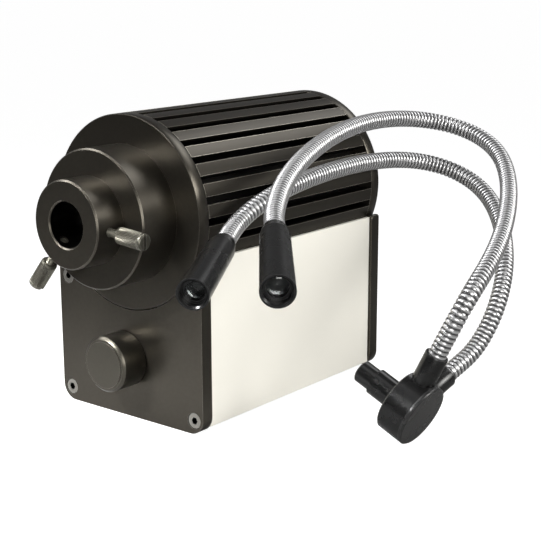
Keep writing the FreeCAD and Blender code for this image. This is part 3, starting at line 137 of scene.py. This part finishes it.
class Surface:
    """A material's node tree, with short calls for its textures."""

    def __init__(self, name, colour, metallic, roughness):
        self.material = bpy.data.materials.new(name)
        self.material.use_nodes = True
        self.tree = self.material.node_tree
        self.shader = self.tree.nodes["Principled BSDF"]
        self.shader.inputs["Base Color"].default_value = (*colour, 1)
        self.shader.inputs["Metallic"].default_value = metallic
        self.shader.inputs["Roughness"].default_value = roughness
        self.colour = None
        self.height = None
        self.place = self.node("ShaderNodeTexCoord").outputs["Object"]

    def node(self, kind, **values):
        made = self.tree.nodes.new(kind)
        for key, value in values.items():
            setattr(made, key, value)
        return made

    def link(self, source, target):
        self.tree.links.new(source, target)

    def noise(self, scale, stretch=(1, 1, 1), detail=4):
        """Noise over the object's own coordinates."""
        mapping = self.node("ShaderNodeMapping")
        mapping.inputs["Scale"].default_value = stretch
        self.link(self.place, mapping.inputs["Vector"])
        noise = self.node("ShaderNodeTexNoise")
        noise.inputs["Scale"].default_value = scale
        noise.inputs["Detail"].default_value = detail
        self.link(mapping.outputs["Vector"], noise.inputs["Vector"])
        return noise.outputs["Fac"]

    def span(self, source, low, high, to_low=0.0, to_high=1.0):
        """Map one range of values onto another, held at its ends."""
        ranged = self.node("ShaderNodeMapRange")
        for key, value in (("From Min", low), ("From Max", high), ("To Min", to_low), ("To Max", to_high)):
            ranged.inputs[key].default_value = value
        self.link(source, ranged.inputs["Value"])
        return ranged.outputs["Result"]

    def tint(self, share, colour):
        """Mix the colour so far towards another by a share."""
        mix = self.node("ShaderNodeMix", data_type="RGBA")
        if self.colour is None:
            mix.inputs["A"].default_value = self.shader.inputs["Base Color"].default_value
        else:
            self.link(self.colour, mix.inputs["A"])
        mix.inputs["B"].default_value = (*colour, 1)
        self.link(share, mix.inputs["Factor"])
        self.colour = mix.outputs["Result"]
        self.link(self.colour, self.shader.inputs["Base Color"])
        return self

    def rough(self, source, low, high):
        """Let a noise move the roughness between two values."""
        self.link(self.span(source, 0.3, 0.7, low, high), self.shader.inputs["Roughness"])
        return self

    def bump(self, source, strength, distance=0.0001):
        """Lay a fine relief over the relief so far."""
        bump = self.node("ShaderNodeBump")
        bump.inputs["Strength"].default_value = strength
        bump.inputs["Distance"].default_value = distance
        self.link(source, bump.inputs["Height"])
        if self.height is not None:
            self.link(self.height, bump.inputs["Normal"])
        self.height = bump.outputs["Normal"]
        self.link(self.height, self.shader.inputs["Normal"])
        return self

    def paint_edge_highlights(self, colour, radius=0.00035, share=0.8):
        """Lighten narrow bands along sharp edges: painted highlights."""
        bevel = self.node("ShaderNodeBevel", samples=6)
        bevel.inputs["Radius"].default_value = radius
        dot = self.node("ShaderNodeVectorMath", operation="DOT_PRODUCT")
        geometry = self.node("ShaderNodeNewGeometry")
        self.link(bevel.outputs["Normal"], dot.inputs[0])
        self.link(geometry.outputs["Normal"], dot.inputs[1])
        edge = self.span(dot.outputs["Value"], 0.995, 0.86, 0.0, share)
        return self.tint(edge, colour)

    def ring_distance(self, centre, along="Y"):
        """Distance from an axis along Y or Z through a place."""
        shift = self.node("ShaderNodeVectorMath", operation="SUBTRACT")
        shift.inputs[1].default_value = centre
        self.link(self.place, shift.inputs[0])
        flat = self.node("ShaderNodeVectorMath", operation="MULTIPLY")
        flat.inputs[1].default_value = (1, 0, 1) if along == "Y" else (1, 1, 0)
        self.link(shift.outputs["Vector"], flat.inputs[0])
        length = self.node("ShaderNodeVectorMath", operation="LENGTH")
        self.link(flat.outputs["Vector"], length.inputs[0])
        return length.outputs["Value"]

    def depth(self, face):
        """From 0 at the screws' faces to 1 inside their sockets, at the front and the back: the mask of the
        painted shade there.
        """
        parts = self.node("ShaderNodeSeparateXYZ")
        self.link(self.place, parts.inputs["Vector"])
        size = self.node("ShaderNodeMath", operation="ABSOLUTE")
        self.link(parts.outputs["Y"], size.inputs[0])
        return self.span(size.outputs["Value"], face - 0.0002, face - 0.0005)

    def waves(self, source, pitch):
        """A sine of a distance, from 0 to 1."""
        scale = self.node("ShaderNodeMath", operation="MULTIPLY")
        scale.inputs[1].default_value = 2 * math.pi / pitch
        self.link(source, scale.inputs[0])
        sine = self.node("ShaderNodeMath", operation="SINE")
        self.link(scale.outputs["Value"], sine.inputs[0])
        return self.span(sine.outputs["Value"], -1, 1)


def anodised(name, colour, light, centre=None, shaded_bore=None):
    made = Surface(name, colour, 0.9, 0.32)
    made.tint(made.span(made.noise(700, detail=6), 0.35, 0.75, 0, 0.10), light)
    made.rough(made.noise(35, detail=6), 0.28, 0.34)
    made.bump(made.noise(5200, detail=2), 0.10, 0.00004)
    if centre is not None:
        made.bump(made.waves(made.ring_distance(centre), 0.00035), 0.10, 0.00003)
    # Painted highlights along the sharp edges.
    made.paint_edge_highlights((0.42, 0.395, 0.34), 0.00018, 0.7)
    # Painted shade: inside the bore the colour goes to near black.
    if shaded_bore is not None:
        made.tint(made.span(made.ring_distance(centre), shaded_bore + 0.0001, shaded_bore), (0.004, 0.0036, 0.003))
    return made.material


def make_materials():
    olive = (0.062, 0.056, 0.046)
    olive_light = (0.12, 0.11, 0.09)
    light_axis = (0, 0, AXIS_HEIGHT)
    made = {
        "plate": anodised("plate_anodised", olive, olive_light),
        "turned": anodised("turned_anodised", olive, olive_light, light_axis),
        "collar": anodised("collar_anodised", olive, olive_light, light_axis, BORE_RADIUS),
        "knob": anodised("knob_anodised", (0.066, 0.061, 0.050), olive_light, (-0.0015, 0, 0.020)),
    }

    fins = Surface("fin_anodised", (0.050, 0.045, 0.037), 0.9, 0.34)
    fins.tint(fins.span(fins.noise(300, (1, 0.1, 1)), 0.3, 0.8, 0, 0.4), (0.075, 0.068, 0.056))
    fins.bump(fins.noise(1800, (1, 0.05, 1)), 0.18, 0.00005)
    # Painted highlights along the fins' sharp edges.
    fins.paint_edge_highlights((0.60, 0.56, 0.48), 0.0003, 0.9)
    # Painted shade: the fins darken to near black towards their roots, deep in the gaps between them.
    depth = fins.span(fins.ring_distance(light_axis), BARREL_RADIUS - 0.0003, BARREL_RADIUS - 0.0016)
    made["fins"] = fins.tint(depth, (0.003, 0.0026, 0.002)).material

    case = Surface("case_coat", (0.86, 0.84, 0.77), 0, 0.50)
    case.tint(case.span(case.noise(14, (0.3, 1, 1)), 0.3, 0.8, 0, 0.25), (0.81, 0.785, 0.715))
    case.rough(case.noise(70), 0.40, 0.54)
    case.bump(case.noise(2600, (1, 0.08, 1), 2), 0.14, 0.00004)
    # Painted highlights along the case's sharp edges.
    made["case"] = case.paint_edge_highlights((0.86, 0.85, 0.80), 0.0003, 0.6).material

    for key, name in (("steel", "screw_steel"), ("socket", "socket_shade_screws")):
        steel = Surface(name, (0.30, 0.29, 0.265), 1, 0.34)
        steel.rough(steel.noise(900), 0.30, 0.42)
        steel.bump(steel.noise(3000), 0.15, 0.00003)
        # Painted highlights along the screws' sharp edges.
        steel.paint_edge_highlights((0.85, 0.85, 0.82), 0.00015, 0.8)
        # Painted shade: the hex sockets, and the heads' sides sunk in the counterbores, go near black.
        if key == "socket":
            steel.tint(steel.depth(SCREW_FACE), (0.006, 0.006, 0.006))
        made[key] = steel.material

    bare = Surface("bare_aluminium", (0.60, 0.60, 0.58), 1, 0.36)
    bare.rough(bare.noise(500, (1, 0.1, 1)), 0.30, 0.45)
    made["bare"] = bare.bump(bare.noise(2400, (1, 0.1, 1)), 0.2, 0.00004).material

    # The cap gets a lighter copy of the black satin: painted light standing in for the light on the cap's
    # face.
    for name, tone in (("black", 0.003), ("cap", 0.020)):
        black = Surface(name + "_satin", (tone, tone, tone), 0, 0.34)
        black.tint(black.span(black.noise(900, detail=6), 0.35, 0.8, 0, 0.25), (0.016, 0.016, 0.017))
        black.rough(black.noise(60, detail=6), 0.22, 0.32)
        black.bump(black.noise(4200, detail=2), 0.16, 0.00004)
        # Painted highlights along the sharp edges.
        made[name] = black.paint_edge_highlights((0.07, 0.07, 0.073), 0.0003, 0.6).material

    knurl = Surface("knurled_metal", (0.078, 0.075, 0.060), 0.8, 0.42)
    knurl.tint(knurl.span(knurl.noise(700), 0.35, 0.7, 0, 0.6), (0.06, 0.056, 0.045))
    knurl.bump(knurl.noise(3500), 0.25, 0.00005)
    # Painted highlights along the knurl's sharp edges.
    made["knurl"] = knurl.paint_edge_highlights((0.40, 0.38, 0.31), 0.00015, 0.8).material

    thumb_end = Surface("turned_thumb_end", (0.10, 0.096, 0.078), 0.9, 0.42)
    thumb_end.rough(thumb_end.noise(900), 0.36, 0.48)
    # Painted highlights along the turned end's sharp edges.
    made["thumb_end"] = thumb_end.paint_edge_highlights((0.75, 0.73, 0.64), 0.00015, 0.9).material

    hose = Surface("hose_steel", (0.84, 0.84, 0.85), 0.8, 0.30)
    groove = hose.node("ShaderNodeAttribute", attribute_name="groove").outputs["Fac"]
    # Painted shade: the hose's colour goes dark in the grooves between the ribs.
    hose.tint(groove, (0.04, 0.04, 0.042))
    hose.rough(hose.noise(800), 0.26, 0.36)
    made["hose"] = hose.bump(hose.noise(2500), 0.12, 0.00004).material

    brass = Surface("turned_brass", (0.55, 0.38, 0.15), 1, 0.30)
    brass.rough(brass.noise(700), 0.24, 0.40)
    made["brass"] = brass.bump(brass.noise(2600), 0.15, 0.00004).material

    glass = Surface("lens_glass", (0.90, 0.94, 0.95), 0, 0.03)
    glass.shader.inputs["Transmission Weight"].default_value = 1
    glass.shader.inputs["IOR"].default_value = 1.5
    made["glass"] = glass.bump(glass.noise(60), 0.01, 0.00002).material

    fibre = Surface("fibre_ends", (0.05, 0.052, 0.052), 0, 0.16)
    cells = fibre.node("ShaderNodeTexVoronoi")
    cells.inputs["Scale"].default_value = 9000
    fibre.link(fibre.place, cells.inputs["Vector"])
    fibre.tint(fibre.span(cells.outputs["Distance"], 0.5, 0.1, 0, 0.6), (0.18, 0.19, 0.18))
    made["fibre"] = fibre.bump(cells.outputs["Distance"], 0.2, 0.00003).material

    plastic = Surface("black_plastic", (0.016, 0.016, 0.017), 0, 0.44)
    plastic.bump(plastic.noise(3600), 0.3, 0.00005)
    # Painted highlights along the plastic's sharp edges.
    made["plastic"] = plastic.paint_edge_highlights((0.05, 0.05, 0.05), 0.0003, 0.6).material

    board = Surface("circuit_board", (0.012, 0.10, 0.045), 0, 0.30)
    board.tint(board.span(board.noise(330, (1, 0.2, 1), 0), 0.52, 0.55, 0, 0.7), (0.03, 0.20, 0.09))
    made["board"] = board.bump(board.noise(330, (1, 0.2, 1), 0), 0.2, 0.00005).material

    lamp_board = Surface("lamp_board", (0.80, 0.80, 0.77), 0, 0.35)
    made["lamp_board"] = lamp_board.bump(lamp_board.noise(900), 0.1, 0.00004).material

    chip = Surface("lamp_chip", (0.80, 0.60, 0.06), 0, 0.30)
    made["chip"] = chip.tint(chip.span(chip.noise(2500), 0.4, 0.7, 0, 0.5), (0.9, 0.8, 0.3)).material

    pad = Surface("thermal_pad", (0.30, 0.32, 0.35), 0, 0.7)
    made["pad"] = pad.bump(pad.noise(2500), 0.3, 0.00005).material

    winding = Surface("copper_winding", (0.42, 0.15, 0.05), 0.8, 0.30)
    turns = winding.waves(winding.ring_distance((-0.010, -0.011, 0), "Z"), 0.0007)
    made["winding"] = winding.bump(turns, 0.8, 0.0003).material

    can = Surface("capacitor_can", (0.05, 0.07, 0.16), 0.3, 0.35)
    made["can"] = can.bump(can.noise(600), 0.1, 0.00004).material

    terminal = Surface("terminal_green", (0.03, 0.26, 0.09), 0, 0.42)
    made["terminal"] = terminal.bump(terminal.noise(2600), 0.2, 0.00005).material
    return made


MATERIAL_OF = {
    "plate": "front_plate rear_plate",
    "turned": "front_flange rear_flange lens_barrel",
    "collar": "guide_collar",
    "knob": "control_knob",
    "fins": "heat_sink",
    "case": "case_shell",
    "socket": "end_plate_screws rear_flange_screws",
    "steel": "front_flange_screws barrel_screws saddle_screws lamp_screws"
             " dimmer_washer dimmer_nut knob_grub_screw power_inlet_nut board_screws right_thumbscrew_stud"
             " left_thumbscrew_stud",
    "bare": "heat_sink_saddles ferrule_adapter control_shaft",
    "black": "lens_retainer manifold_body guide_ferrule arm_sleeves right_tip_housing left_tip_housing"
             " right_tip_ring left_tip_ring",
    "cap": "manifold_cap",
    "knurl": "right_thumbscrew_head left_thumbscrew_head",
    "hose": "right_gooseneck left_gooseneck",
    "brass": "dimmer board_pillars",
    "glass": "condenser_lens right_tip_lens left_tip_lens",
    "fibre": "ferrule_fibres right_fibre_bundle left_fibre_bundle",
    "plastic": "power_inlet switch_frame switch_rocker lamp_lead supply_lead",
    "board": "driver_board",
    "lamp_board": "lamp_board",
    "chip": "lamp_chip",
    "pad": "thermal_pad",
    "winding": "driver_coil",
    "can": "driver_capacitors",
    "terminal": "terminal_blocks",
}

# Nodes whose sharp edges get a small real bevel
BEVEL_ANGLE = 38
WELD_GAP = 0.000002
BEVELS = {
    "front_plate": 0.0003, "rear_plate": 0.0003, "front_flange": 0.0003, "rear_flange": 0.0003,
    "control_knob": 0.0002, "case_shell": 0.0003, "manifold_cap": 0.0002, "switch_frame": 0.0003,
    "switch_rocker": 0.0004, "end_plate_screws": 0.00015, "rear_flange_screws": 0.00015,
    "power_inlet_nut": 0.0002, "arm_sleeves": 0.0002,
}


def paint_nodes(materials):
    for key, names in MATERIAL_OF.items():
        for name in names.split():
            slots = nodes[name].data.materials
            slots.clear()
            slots.append(materials[key])


def bevel_nodes():
    for name, width in BEVELS.items():
        weld = nodes[name].modifiers.new("weld", "WELD")
        weld.merge_threshold = WELD_GAP
        bevel = nodes[name].modifiers.new("bevel", "BEVEL")
        bevel.width = width
        bevel.segments = 2
        bevel.limit_method = "ANGLE"
        bevel.angle_limit = math.radians(BEVEL_ANGLE)
        bevel.use_clamp_overlap = True


# Mesh helpers

def mesh_piece(name, points, faces, material):
    mesh = bpy.data.meshes.new(name)
    mesh.from_pydata([tuple(point) for point in points], [], faces)
    mesh.materials.append(material)
    piece = bpy.data.objects.new(name, mesh)
    bpy.context.scene.collection.objects.link(piece)
    return piece


def tube_faces(rings, sides):
    faces = []
    for ring in range(rings - 1):
        for side in range(sides):
            a = ring * sides + side
            b = ring * sides + (side + 1) % sides
            faces.append((a, b, b + sides, a + sides))
    faces.append(tuple(reversed(range(sides))))
    faces.append(tuple(range((rings - 1) * sides, rings * sides)))
    return faces


def smooth_by_angle(piece, degrees):
    mesh = piece.data
    mesh.shade_smooth()
    mesh.set_sharp_from_angle(angle=math.radians(degrees))


# The two bendable arms

def guide_axes():
    """The guide's own axes: up, level and along the ferrule."""
    tilt = math.radians(DRUM_TILT)
    along = Vector((-math.cos(tilt), 0, math.sin(tilt)))
    up = Vector((math.sin(tilt), 0, math.cos(tilt)))
    return up, Vector((0, 1, 0)), along


def b_spline(points, steps=24):
    """Points along an even cubic spline that the given points pull."""
    line = []
    for a, b, c, d in zip(points, points[1:], points[2:], points[3:]):
        for step in range(steps):
            u = step / steps
            line.append((a * (1 - u) ** 3 + b * (3 * u ** 3 - 6 * u ** 2 + 4)
                         + c * (3 * u - 3 * u ** 3 + 3 * u ** 2 + 1) + d * u ** 3) / 6)
    return line


def arm_line(arm):
    """The arm's centre line, from inside its sleeve to inside its tip."""
    up, level, along = guide_axes()
    turn = math.radians(arm["sleeve_turn"])
    start_way = up * math.cos(turn) + level * math.sin(turn)
    mouth = DRUM_CAP + along * SLEEVE_BACK + start_way * arm["sleeve_end"]
    yaw, dip = math.radians(arm["yaw"]), math.radians(arm["dip"])
    end_way = Vector((math.sin(yaw) * math.cos(dip), -math.cos(yaw) * math.cos(dip), -math.sin(dip)))
    neck = Vector(arm["neck"]) * 0.001
    leave = mouth + start_way * STRAIGHT_RUN
    arrive = neck - end_way * STRAIGHT_RUN
    lead_out, lead_in = arm["lead"]
    pull = [leave] * 3 + [leave + start_way * (lead_out * 0.001)]
    pull += [Vector(point) * 0.001 for point in arm["route"]]
    pull += [arrive - end_way * (lead_in * 0.001)] + [arrive] * 3
    return [mouth - start_way * HOSE_GRIP] + b_spline(pull) + [arrive, neck + end_way * HOSE_GRIP]


def sweep(places, radii, sides):
    """Rings of points round a line, with no twist between them."""
    ways = np.gradient(places, axis=0)
    ways /= np.linalg.norm(ways, axis=1)[:, None]
    angles = np.linspace(0, 2 * math.pi, sides, endpoint=False)[:, None]
    sideways = np.cross(ways[0], (1.0, 0, 0))
    rings = []
    for place, way, radius in zip(places, ways, radii):
        sideways = sideways - way * (sideways @ way)
        sideways /= np.linalg.norm(sideways)
        across = np.cross(way, sideways)
        rings.append(place + radius * (np.cos(angles) * sideways + np.sin(angles) * across))
    return np.concatenate(rings)


def blend_arm(piece):
    """Bake a piece of an arm's placement into its mesh."""
    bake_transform(piece)


def make_hose(side, material):
    """A steel hose with its fine ribs, and a groove value that the material reads to paint shade into the
    grooves.
    """
    line = np.array([tuple(point) for point in arm_line(ARMS[side])])
    run = np.concatenate([[0], np.cumsum(np.linalg.norm(np.diff(line, axis=0), axis=1))])
    ribs = round(run[-1] / RIB_PITCH)
    stations = [(rib + share, depth) for rib in range(ribs) for share, depth in RIB_PROFILE]
    distances = np.array([place / ribs * run[-1] for place, depth in stations])
    depths = np.array([depth for place, depth in stations])
    places = np.stack([np.interp(distances, run, line[:, axis]) for axis in range(3)], 1)
    points = sweep(places, HOSE_RADIUS - RIB_DEPTH * depths, HOSE_SIDES)
    faces = tube_faces(len(places), HOSE_SIDES)
    hose = mesh_piece(side + "_arm_hose", points, faces, material)
    groove = hose.data.attributes.new("groove", "FLOAT", "POINT")
    groove.data.foreach_set("value", np.repeat(np.sqrt(depths), HOSE_SIDES).astype(np.float32))
    hose.data.shade_smooth()
    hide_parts(side + "_gooseneck")
    blend_arm(hose)


def make_bundle(side, material):
    """The fibres inside an arm, from the drum to behind the tip's lens."""
    line = arm_line(ARMS[side])
    behind = ARMS[side]["sleeve_end"] - HOSE_GRIP - BUNDLE_ROOT
    begin = line[0] - (line[1] - line[0]).normalized() * behind
    finish = line[-1] + (line[-1] - line[-2]).normalized() * BUNDLE_REACH
    places = np.array([tuple(point) for point in (begin, *line[1:-1:4], finish)])
    points = sweep(places, [BUNDLE_RADIUS] * len(places), BUNDLE_SIDES)
    faces = tube_faces(len(places), BUNDLE_SIDES)
    bundle = mesh_piece(side + "_fibres", points, faces, material)
    smooth_by_angle(bundle, 40)
    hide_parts(side + "_fibre_bundle")
    blend_arm(bundle)


# Thumbscrews

def screw_frame(screw, reach):
    """A matrix whose Z points out along the screw, at a distance from the light axis."""
    fall = math.radians(screw["fall"])
    way = Vector((screw["side"] * math.cos(fall), 0, -math.sin(fall)))
    place = Vector((0, FRONT_FACE - screw["front"], AXIS_HEIGHT)) + way * reach
    level = Vector((0, 1, 0))
    matrix = Matrix((level.cross(way), level, way)).transposed().to_4x4()
    return Matrix.Translation(place) @ matrix


def make_stud(side, material):
    """The thread of a thumbscrew, one turn every half millimetre."""
    sides, per_turn = 24, 6
    turns = STUD_LENGTH / THREAD_PITCH
    rings = int(turns * per_turn) + 1
    seat = screw_frame(THUMBSCREWS[side], STUD_TIP)
    points = []
    for ring in range(rings):
        height = STUD_LENGTH * ring / (rings - 1)
        for corner in range(sides):
            phase = (height / THREAD_PITCH - corner / sides) % 1
            depth = THREAD_DEPTH * abs(2 * phase - 1)
            taper = max(0, STUD_CHAMFER - height) / 2
            angle = 2 * math.pi * corner / sides
            radius = STUD_RADIUS - depth - taper
            points.append(seat @ Vector((radius * math.cos(angle), radius * math.sin(angle), height)))
    stud = mesh_piece(side + "_stud_thread", points, tube_faces(rings, sides), material)
    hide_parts(side + "_thumbscrew_stud")
    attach(stud, side + "_thumbscrew")


def make_thumb_head(side, knurl, bright):
    """A knurled head with a bright turned end and a screwdriver slot."""
    per_tooth = 4
    sides = KNURL_TEETH * per_tooth
    seat = screw_frame(THUMBSCREWS[side], THUMB_BASE)
    points = []
    for height, change, cut in THUMB_PROFILE:
        for corner in range(sides):
            tooth = abs(2 * (corner % per_tooth) / per_tooth - 1)
            radius = THUMB_RADIUS + change - cut * KNURL_DEPTH * tooth
            angle = 2 * math.pi * corner / sides
            points.append(Vector((radius * math.cos(angle), radius * math.sin(angle), height)))
    faces = tube_faces(len(THUMB_PROFILE), sides)
    head = mesh_piece(side + "_thumb_knurled", points, faces, knurl)
    head.data.materials.append(bright)
    for face in head.data.polygons:
        if face.center.z > KNURL_END:
            face.material_index = 1
    width, depth = THUMB_SLOT
    cutters = [
        box_cutter((-SLOT_REACH, -width / 2, THUMB_LENGTH - depth),
                   (SLOT_REACH, width / 2, THUMB_LENGTH + CUT_MARGIN)),
        round_cutter(STUD_RADIUS + BORE_GAP, -CUT_MARGIN, THUMB_HOLD),
    ]
    for cutter in cutters:
        trim(head, cutter)
    head.data.transform(seat)
    smooth_by_angle(head, 32)
    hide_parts(side + "_thumbscrew_head")
    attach(head, side + "_thumb_head")


def box_cutter(low, high):
    corners = list(itertools.product(*zip(low, high)))
    faces = [(0, 1, 3, 2), (4, 6, 7, 5), (0, 4, 5, 1), (2, 3, 7, 6), (0, 2, 6, 4), (1, 5, 7, 3)]
    mesh = bpy.data.meshes.new("cutter")
    mesh.from_pydata(corners, [], faces)
    return mesh


def round_cutter(radius, low, high, sides=32):
    points = []
    for height in (low, high):
        for corner in range(sides):
            angle = 2 * math.pi * corner / sides
            points.append((radius * math.cos(angle), radius * math.sin(angle), height))
    mesh = bpy.data.meshes.new("cutter")
    mesh.from_pydata(points, [], tube_faces(2, sides))
    return mesh


def trim(piece, cutter_mesh):
    """Cut a mesh out of a piece, for good."""
    cutter = bpy.data.objects.new("cutter", cutter_mesh)
    bpy.context.scene.collection.objects.link(cutter)
    boolean = piece.modifiers.new("trim", "BOOLEAN")
    boolean.operation = "DIFFERENCE"
    boolean.solver = "EXACT"
    boolean.object = cutter
    graph = bpy.context.evaluated_depsgraph_get()
    result = bpy.data.meshes.new_from_object(piece.evaluated_get(graph))
    piece.modifiers.clear()
    piece.data = result
    bpy.data.objects.remove(cutter)


# Stage, light and camera

def make_floor():
    """A plain pale floor, which glows only where the camera sees it."""
    bpy.ops.mesh.primitive_plane_add(size=FLOOR_SIZE, location=(0, 0, BENCH - FLOOR_DROP))
    floor = bpy.context.active_object
    floor.name = "floor"
    paper = Surface("white_paper", (0.26, 0.26, 0.26), 0, 0.9)
    paper.bump(paper.noise(40), 0.02, 0.0001)
    path = paper.node("ShaderNodeLightPath")
    glow = paper.span(path.outputs["Is Camera Ray"], 0, 1, 0, FLOOR_GLOW)
    paper.link(glow, paper.shader.inputs["Emission Strength"])
    paper.shader.inputs["Emission Color"].default_value = (1, 1, 1, 1)
    floor.data.materials.append(paper.material)


def make_world():
    world = bpy.data.worlds.new("studio")
    bpy.context.scene.world = world
    world.use_nodes = True
    tree = world.node_tree
    background = tree.nodes["Background"]
    background.inputs["Color"].default_value = (1, 1, 1, 1)
    path = tree.nodes.new("ShaderNodeLightPath")
    ranged = tree.nodes.new("ShaderNodeMapRange")
    ranged.inputs["To Min"].default_value = WORLD_LIGHT
    ranged.inputs["To Max"].default_value = SKY_GLOW
    tree.links.new(path.outputs["Is Camera Ray"], ranged.inputs["Value"])
    tree.links.new(ranged.outputs["Result"], background.inputs["Strength"])


def softbox(name, place, target, size, power, colour=(1, 1, 1), spread=180):
    light = bpy.data.lights.new(name, "AREA")
    light.shape = "RECTANGLE"
    light.size, light.size_y = size
    light.energy = power
    light.color = colour
    light.spread = math.radians(spread)
    lamp = bpy.data.objects.new(name, light)
    bpy.context.scene.collection.objects.link(lamp)
    lamp.visible_camera = False
    lamp.location = place
    lamp.rotation_euler = (Vector(target) - Vector(place)).to_track_quat("-Z", "Y").to_euler()


def make_lights():
    middle = (0.03, 0, 0.05)
    softbox("top_light", (-0.05, -0.15, 0.60), middle, (0.3, 0.3), 0.63)
    softbox("left_light", (-0.60, -0.30, 0.70), middle, (0.4, 0.4), 0.71, spread=60)
    softbox("side_light", (0.42, -0.36, 0.14), middle, (0.25, 0.25), 0.29, WARM, 70)
    softbox("rear_light", (0.80, 0.35, 0.40), middle, (0.4, 0.4), 0.40, WARM, 40)
    softbox("back_light", (0.20, 0.75, 0.80), middle, (0.7, 0.4), 0.29, spread=50)
    softbox("floor_light", (-0.12, -0.40, 0.36), (-0.02, -0.10, 0), (0.14, 0.08), 0.35, spread=30)


def make_camera():
    azimuth, elevation = math.radians(CAMERA_AZIMUTH), math.radians(CAMERA_ELEVATION)
    back = Vector((math.sin(azimuth) * math.cos(elevation), -math.cos(azimuth) * math.cos(elevation),
                   math.sin(elevation)))
    level = Vector((math.cos(azimuth), math.sin(azimuth), 0))
    upright = back.cross(level)
    roll = math.radians(CAMERA_ROLL)
    right = level * math.cos(roll) + upright * math.sin(roll)
    up = upright * math.cos(roll) - level * math.sin(roll)
    camera_data = bpy.data.cameras.new("camera")
    camera_data.lens = CAMERA_LENS
    camera_data.sensor_width = CAMERA_SENSOR
    camera_data.clip_start = CAMERA_NEAR
    camera = bpy.data.objects.new("camera", camera_data)
    bpy.context.scene.collection.objects.link(camera)
    camera.matrix_world = Matrix.Translation(CAMERA_PLACE) @ Matrix((right, up, back)).transposed().to_4x4()
    bpy.context.scene.camera = camera


make_camera()
materials = make_materials()
paint_nodes(materials)
bevel_nodes()
for side in ("right", "left"):
    make_hose(side, materials["hose"])
    make_bundle(side, materials["fibre"])
    make_stud(side, materials["knurl"])
    make_thumb_head(side, materials["knurl"], materials["thumb_end"])
make_floor()
make_world()
make_lights()
bpy.context.scene.view_settings.view_transform = "Standard"
